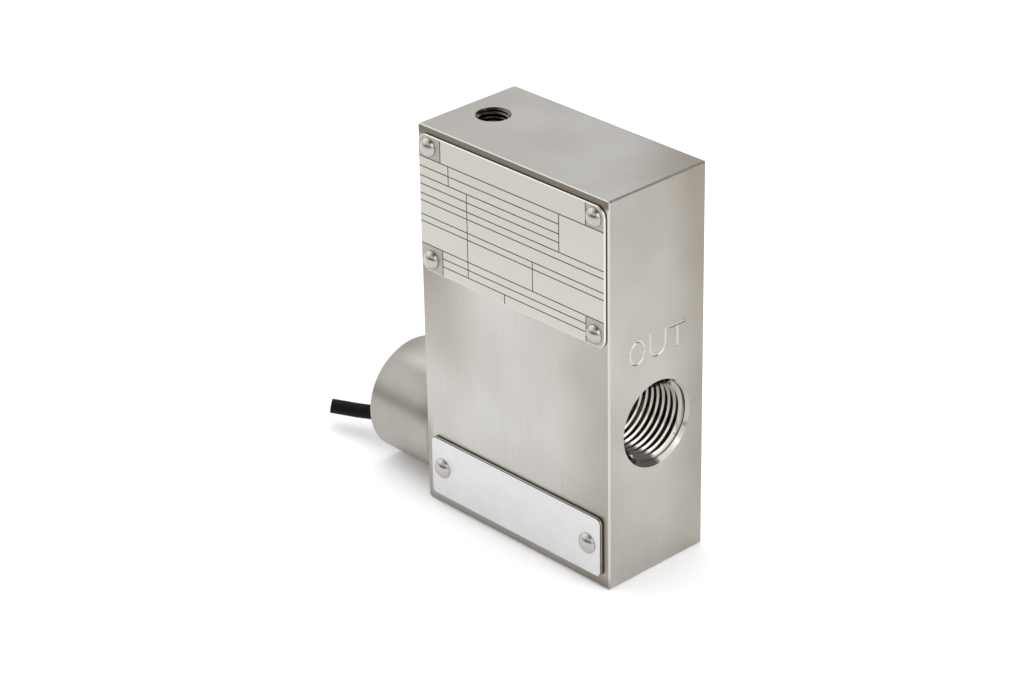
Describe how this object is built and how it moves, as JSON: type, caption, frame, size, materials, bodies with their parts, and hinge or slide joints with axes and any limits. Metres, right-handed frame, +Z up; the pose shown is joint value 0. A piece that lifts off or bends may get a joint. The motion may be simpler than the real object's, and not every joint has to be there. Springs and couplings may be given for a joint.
{
  "type": "explosion-proof flow switch",
  "caption": "In-line piston flow switch in a square stainless block, with a threaded side outlet, a bottom inlet, an adjustable reed switch and a potted conduit hub with a short cable.",
  "frame": {"origin": "on the inlet port's axis, in the plane of the block's bottom face", "axes": "+Z up along the inlet axis and the block's height, +X towards the outlet port, -Y towards the rating plate"},
  "size_m": [0.1101, 0.0343, 0.1016],
  "materials": {
    "block_steel": "satin, ground along the length",
    "hub_steel": "satin, turned",
    "weld_steel": "brushed weld bead",
    "potting_epoxy": "cast, slightly glossy",
    "cable_jacket": "extruded, matt",
    "wire_insulation": "extruded",
    "plate_metal": "satin, printed in black",
    "white_plate": "semi-gloss enamel",
    "drive_screw_steel": "polished",
    "turned_steel": "turned",
    "seal_rubber": "moulded",
    "spring_steel": "drawn",
    "ptfe": "turned",
    "magnet": "sintered",
    "carrier_brass": "turned",
    "reed_glass": "drawn, green tint",
    "reed_alloy": "stamped"
  },
  "bodies": {
    "housing": {"body_block": "block_steel", "conduit_hub": "hub_steel", "hub_weld": "weld_steel", "potting": "potting_epoxy", "cable": "cable_jacket", "lead_wires": "wire_insulation", "rating_plate": "plate_metal", "lower_plate": "white_plate", "rating_plate_screws": "drive_screw_steel", "lower_plate_screws": "drive_screw_steel", "seat_ring": "turned_steel", "seat_o_ring": "seal_rubber", "seat_snap_ring": "spring_steel", "return_spring": "spring_steel"},
    "piston": {"piston": "turned_steel", "glide_rings": "ptfe", "piston_magnet": "magnet", "magnet_cap": "turned_steel"},
    "reed_carrier": {"reed_carrier": "carrier_brass", "reed_glass": "reed_glass", "reed_blades": "reed_alloy"},
    "adjuster": {"adjusting_screw": "turned_steel", "swivel_clip": "spring_steel"}
  },
  "joints": [
    {"name": "piston_slide", "type": "slide", "parent": "housing", "child": "piston", "axis": [0, 0, 1], "range_m": [0, 0.012], "stiffness_N_per_m": 60, "springref_m": -0.006, "deforming": ["return_spring"]},
    {"name": "carrier_slide", "type": "slide", "parent": "housing", "child": "reed_carrier", "axis": [0, 0, 1], "range_m": [-0.004, 0.004], "deforming": ["lead_wires"]},
    {"name": "adjuster_turn", "type": "hinge", "parent": "reed_carrier", "child": "adjuster", "pos_m": [-0.0187, 0, 0.0918], "axis": [0, 0, 1], "range_deg": [-1362, 1362]}
  ],
  "couplings": [
    {"joint": "adjuster_turn", "follows": "carrier_slide", "rad_per_m": 5936.9}
  ]
}
